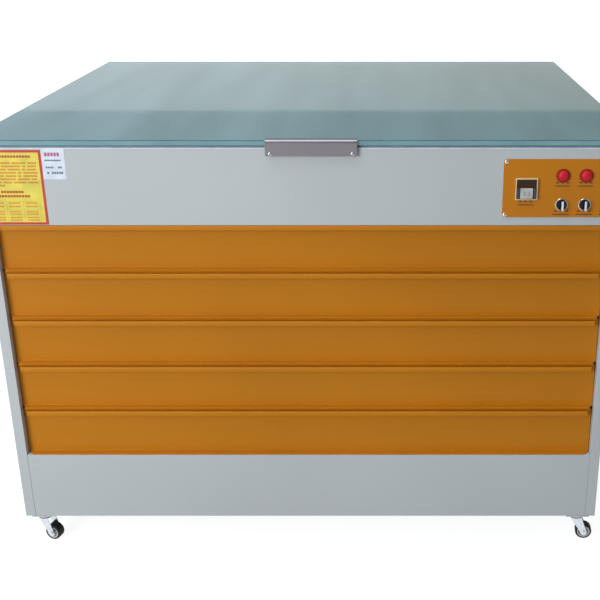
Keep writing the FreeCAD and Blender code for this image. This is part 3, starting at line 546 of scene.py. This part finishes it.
def cross_screws(name, node, spots, radius, height, body, material):
    """Domed screw heads, each with a dark cross of painted shade where its cross recess would be."""
    low, high = extent(node)
    base = low.y + height
    vertices = []
    faces = []
    crosses = []
    for x, z in spots:
        rings, sides = lathe_mesh((x, base, z), [(radius * 0.5, high.y - base), (radius * 0.5, 0.02)]
                                  + dome(radius, height, 0, 6), len(vertices), 40)
        vertices += rings
        faces += sides
        reach = radius * 0.52
        for wide, tall in ((reach, reach * 0.24), (reach * 0.24, reach)):
            crosses.append(((x - wide, low.y - 0.02, z - tall), (x + wide, low.y + height * 0.45, z + tall)))
    heads = piece(name, vertices, faces, material, body, True)
    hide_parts(node)
    blocks(f"{name}_recesses", crosses, DARK_RECESS, body)


def corner_spots(node, radius):
    """The four places in a node's box that are a radius in from its corners."""
    low, high = extent(node)
    return [(x, z) for x in (low.x + radius, high.x - radius) for z in (low.z + radius, high.z - radius)]


def all_screws():
    cross_screws("plate_screws", "control_screws", corner_spots("control_screws", 4.4), 4.4, 2, "cabinet", BRIGHT)
    low, high = extent("clip_screws")
    middle = (low.z + high.z) / 2
    cross_screws("clip_heads", "clip_screws", [(low.x + 4, middle), (high.x - 4, middle)], 4, 2.6, "lid", BRIGHT)


INK = 0.06


def bars(spots, face, thickness=INK):
    """Thin printed bars in front of a face, each given as left, right, lower and upper edge."""
    return [((left, face - thickness, low), (right, face + 0.01, high)) for left, right, low, high in spots]


def dashes(left, right, top, height, length, gap, skip=()):
    """A row of short bars, some of them left out."""
    spots = []
    count = int((right - left + gap) / (length + gap))
    for place in range(count):
        if place not in skip:
            start = left + place * (length + gap)
            spots.append((start, start + length, top - height, top))
    return spots


def instruction_print():
    """A red border, heading bars, rows of short plain bars and a small ruled table: no lettering."""
    low, high = extent("instruction_plate")
    border = 5.5
    frame_bars = [
        (low.x, high.x, low.z, low.z + border),
        (low.x, high.x, high.z - border, high.z),
        (low.x, low.x + border, low.z + border, high.z - border),
        (high.x - border, high.x, low.z + border, high.z - border),
    ]
    blocks("instruction_border", bars(frame_bars, low.y), RED_INK, "cabinet")
    headings = []
    for drop, inset in ((11.7, 22), (89.8, 42), (99.2, 30)):
        headings += dashes(low.x + inset, high.x - inset, high.z - drop, 5, 5, 1.2)
    blocks("instruction_headings", bars(headings, low.y), DEEP_INK, "cabinet")
    rows = []
    for row in range(8):
        left = low.x + 12 + 2.5 * (row % 3)
        right = high.x - 11 if row < 7 else low.x + 52
        skip = (5 + 3 * row % 7, 15 + 5 * row % 6, 24 - row % 5)
        rows += dashes(left, right, high.z - 26.5 - row * 7.1, 4.1, 3.3, 0.5, skip)
    columns = [low.x + 14 + (high.x - low.x - 28) * share for share in (0, 0.33, 0.67, 1)]
    for drop in (115.5, 123.5, 135, 140.5, 148.5, 154):
        for column, following in zip(columns, columns[1:]):
            rows += dashes(column + 5, following - 5, high.z - drop, 3.2, 3, 0.7)
    for drop in (113, 121.2, 131, 146):
        rows.append((columns[0], columns[-1], high.z - drop - 0.5, high.z - drop))
    for column in columns:
        rows.append((column - 0.25, column + 0.25, high.z - 158, high.z - 113))
    blocks("instruction_rows", bars(rows, low.y), ORANGE_INK, "cabinet")


def rating_print():
    low, high = extent("rating_plate")
    heading = dashes(low.x + 7, high.x - 8, high.z - 8.5, 8, 5.2, 1.4)
    blocks("label_heading", bars(heading, low.y), PINK_INK, "cabinet")
    rows = dashes(low.x + 6, high.x - 6, high.z - 24, 3.4, 3, 0.5)
    rows += dashes(low.x + 7, high.x - 6, high.z - 39, 4, 3.6, 0.8, (4, 5))
    rows += dashes(low.x + 9, high.x - 5, high.z - 50.5, 5, 4, 1, (1,))
    blocks("label_rows", bars(rows, low.y), SLATE_INK, "cabinet")


def caption_bars():
    """Short dark bars where the control plate has its captions."""
    plate_low, plate_high = extent("control_plate")
    spots = []

    def caption(middle, top, width):
        for share in (-0.34, 0.0, 0.34):
            spots.append((middle + share * width - 3.4, middle + share * width + 3, top - 3, top))
        spots.append((middle - width / 2, middle + width / 2, top - 10.2, top - 8))
    case_low, case_high = extent("controller_case")
    caption((case_low.x + case_high.x) / 2, case_low.z - 3, 34)
    for number in (1, 2, 3):
        for name, gap, width in ((f"pilot_lamp_{number}", -1, 32), (f"selector_knob_{number}", 3, 36)):
            low, high = extent(name)
            caption((low.x + high.x) / 2, low.z - gap, width)
    spots = [spot for spot in spots if spot[0] > plate_low.x and spot[2] > plate_low.z + 2]
    blocks("control_captions", bars(spots, plate_low.y, 0.05), DARK_INK, "cabinet")


def pilot_lamps():
    """A red dome in a darker ring, on a neck that goes through the plate."""
    plate_low, plate_high = extent("control_plate")
    for number in (1, 2, 3):
        name = f"pilot_lamp_{number}"
        low, high = extent(name)
        centre = ((low.x + high.x) / 2, plate_low.y, (low.z + high.z) / 2)
        radius = (high.x - low.x) / 2
        reach = plate_low.y - low.y
        ring = lathe(f"lamp_ring_{number}", centre, [
            (10.8, high.y - plate_low.y), (10.8, 0), (radius, 0), (radius, -2.6), (radius - 0.7, -3.8),
            (radius - 2.2, -4.4), (radius - 3.4, -4.2), (radius - 3.6, -2.5)],
            DARK_RED, "cabinet")
        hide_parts(name)
        lathe(f"lamp_lens_{number}", centre, [(radius - 3.7, -2.5)] + dome(radius - 3.7, reach - 4.2, -4.2, 9),
              LENS, "cabinet")


KNOB_FLANGE = 1.7


def selector_knobs():
    """A black knob with a raised grip, a white bar on it and a polished ring round it."""
    plate_low, plate_high = extent("control_plate")
    for number in (1, 2, 3):
        name = f"selector_knob_{number}"
        low, high = extent(name)
        body = f"knob_{number}"
        x, z = (low.x + high.x) / 2, (low.z + high.z) / 2
        radius = (high.x - low.x) / 2
        base = low.y + 11
        disc = lathe(f"knob_disc_{number}", (x, base, z), [
            (3, high.y - base), (3, 4.6), (radius, 4.6), (radius, 2.75), (radius + KNOB_FLANGE, 2.75),
            (radius + KNOB_FLANGE, 1), (radius + KNOB_FLANGE - 0.4, 0.3), (radius + KNOB_FLANGE - 1, 0)],
            BLACK, body)
        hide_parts(name)
        blocks(f"knob_grip_{number}", [((x - 2.8, low.y + 0.4, z - radius - 0.4),
                                        (x + 2.8, base + 0.2, z + radius + 0.4))],
               BLACK, body, 0.9)
        blocks(f"knob_pointer_{number}", [((x - 2.3, low.y, z - radius - 0.2),
                                           (x + 2.3, low.y + 1.6, z + radius + 0.2))],
               WHITE_INK, body, 0.4)
        rim = 14.05
        lathe(f"selector_ring_{number}", (x, plate_low.y, z), [
            (rim - 1, 0.3), (rim, 0), (rim, -1.6), (rim - 0.35, -2.5), (rim - 1.1, -3.05), (rim - 2.2, -3.05),
            (rim - 3.2, -2.3), (rim - 3.5, -1.3)], CHROME, "cabinet")


def controller_face():
    """The display above, and below it a pale block with two number wheels between dark grips."""
    low, high = extent("controller_window")
    x = (low.x + high.x) / 2
    seam = high.z - 18
    blocks("controller_visor", [((low.x + 0.4, low.y - 0.5, seam), (high.x - 0.4, low.y + 0.4, high.z - 0.4))],
           GLOSS_BLACK, "cabinet", 0.25)
    blocks("controller_key", [((x - 13.5, low.y - 1.6, low.z + 0.8), (x + 13.5, low.y + 0.3, seam - 0.8))],
           PALE_PLASTIC, "cabinet", 0.9)
    blocks("controller_wheels", [((x + side * 4.6 - 3, low.y - 2.3, low.z + 7), (x + side * 4.6 + 3, low.y, seam - 7))
                                 for side in (-1, 1)], GREY_PLASTIC, "cabinet", 0.8)
    blocks("controller_grips", [((x + side * 18.2 - 3.6, low.y - 1.2, low.z + 1.6),
                                 (x + side * 18.2 + 3.6, low.y + 0.3, seam - 1.2)) for side in (-1, 1)],
           SLATE, "cabinet", 1.4)


def fascia_highlight_bead():
    """A pale rounded bead on the fascia's upper edge, under the glass, for the sheet's top bend; its paler colour is
    a painted highlight.
    """
    low, high = extent("front_fascia")
    radius = 1.7
    centre = Vector((low.y + 1.2, high.z - 1.1))
    outline = [centre + radius * Vector((-math.cos(math.radians(angle)), math.sin(math.radians(angle))))
               for angle in range(-40, 141, 15)]
    extruded("fascia_highlight_bead", outline, low.x, high.x, EDGE_HIGHLIGHT, "cabinet")


def make_details():
    drawer_fronts()
    fascia_highlight_bead()
    all_screws()
    instruction_print()
    rating_print()
    caption_bars()
    pilot_lamps()
    selector_knobs()
    controller_face()


# Stage: a pale floor, and a backdrop whose top edge the glass mirrors
BACKDROP_Y = 5000
BACKDROP_TOP = 1798
STAGE_HALF = 9000
WALL_WHITE_TO = 1.0
WALL_DULL_FROM = 1.4


def eye_or_mirror(tree):
    """1 for what the camera, a mirror or a pane sees, and 0 for light on its way between surfaces."""
    path = tree.nodes.new("ShaderNodeLightPath")
    seen = path.outputs["Is Camera Ray"]
    for other in ("Is Glossy Ray", "Is Transmission Ray"):
        either = tree.nodes.new("ShaderNodeMath")
        either.operation = "MAXIMUM"
        tree.links.new(seen, either.inputs[0])
        tree.links.new(path.outputs[other], either.inputs[1])
        seen = either.outputs[0]
    return seen


def product(tree, first, second):
    times = tree.nodes.new("ShaderNodeMath")
    times.operation = "MULTIPLY"
    tree.links.new(first, times.inputs[0])
    tree.links.new(second, times.inputs[1])
    return times.outputs[0]


def stage_material(name, tone, glow, upper_glow=None):
    """Pale paint that looks white, and keeps the object's shadow; a wall may fade above to two duller tones."""
    material, tree, shader = new_material(name)
    tree.links.new(blend_colours(tree, noise(tree, 0.6, 2), shade(tone, 0.98), tone), shader.inputs["Base Color"])
    shader.inputs["Roughness"].default_value = 0.9
    shader.inputs["Specular IOR Level"].default_value = 0.1
    shader.inputs["Emission Color"].default_value = (1, 1, 1, 1)
    strength = spread(tree, eye_or_mirror(tree), 0, glow)
    if upper_glow:
        place = tree.nodes.new("ShaderNodeTexCoord")
        parts = tree.nodes.new("ShaderNodeSeparateXYZ")
        tree.links.new(place.outputs["Object"], parts.inputs["Vector"])
        rise = map_range(tree, parts.outputs["Z"], WALL_WHITE_TO, WALL_DULL_FROM)
        across = map_range(tree, parts.outputs["X"], -1.8, 1.4)
        dull = two_tones(tree, across, *upper_glow)
        tree.links.new(two_tones(tree, rise, (1, 1, 1, 1), dull), shader.inputs["Emission Color"])
    tree.links.new(strength, shader.inputs["Emission Strength"])
    return material


def stage_piece(name, corners, material):
    mesh = bpy.data.meshes.new(name)
    mesh.from_pydata([at(*corner) for corner in corners], [], [(0, 1, 2, 3)])
    mesh.materials.append(material)
    thing = bpy.data.objects.new(name, mesh)
    bpy.context.scene.collection.objects.link(thing)


def make_stage():
    ground = -DATUM.z / MM
    stage_piece("floor", [(-STAGE_HALF, -STAGE_HALF, ground), (STAGE_HALF, -STAGE_HALF, ground),
                          (STAGE_HALF, STAGE_HALF, ground), (-STAGE_HALF, STAGE_HALF, ground)],
                stage_material("floor_white", linear(150, 150, 150), 0.88))
    stage_piece("backdrop", [(-STAGE_HALF, BACKDROP_Y, ground), (STAGE_HALF, BACKDROP_Y, ground),
                             (STAGE_HALF, BACKDROP_Y, BACKDROP_TOP), (-STAGE_HALF, BACKDROP_Y, BACKDROP_TOP)],
                stage_material("backdrop_white", linear(235, 235, 235), 0.75, ((0.46, 0.50, 0.52, 1), (0.14, 0.08, 0.01, 1))))


def area_light(name, place, target, size, power):
    data = bpy.data.lights.new(name, "AREA")
    data.shape = "RECTANGLE"
    data.size, data.size_y = size
    data.energy = power
    light = bpy.data.objects.new(name, data)
    light.location = at(*place)
    light.rotation_euler = (at(*target) - light.location).to_track_quat("-Z", "Y").to_euler()
    bpy.context.scene.collection.objects.link(light)


def make_world():
    """An even sky, a little stronger and cooler on the left than on the right."""
    world = bpy.data.worlds.new("world")
    bpy.context.scene.world = world
    world.use_nodes = True
    tree = world.node_tree
    way = tree.nodes.new("ShaderNodeTexCoord")
    parts = tree.nodes.new("ShaderNodeSeparateXYZ")
    tree.links.new(way.outputs["Generated"], parts.inputs["Vector"])
    across = map_range(tree, parts.outputs["X"], -0.4, 0.25)
    ramp = tree.nodes.new("ShaderNodeValToRGB")
    ramp.color_ramp.elements[0].color = (0.60, 0.68, 0.74, 1)
    ramp.color_ramp.elements[1].color = (0.265, 0.285, 0.27, 1)
    tree.links.new(across, ramp.inputs["Fac"])
    tree.links.new(ramp.outputs["Color"], tree.nodes["Background"].inputs["Color"])


def make_light():
    make_world()
    area_light("key", (-2100, -2700, 1500), (-300, 0, 600), (1.4, 1.4), 65)
    area_light("top", (-600, 200, 4200), (0, 500, 0), (3.0, 3.0), 115)


bpy.context.scene.view_settings.view_transform = "Standard"
make_camera()
make_stage()
make_light()
dress_nodes()
make_details()
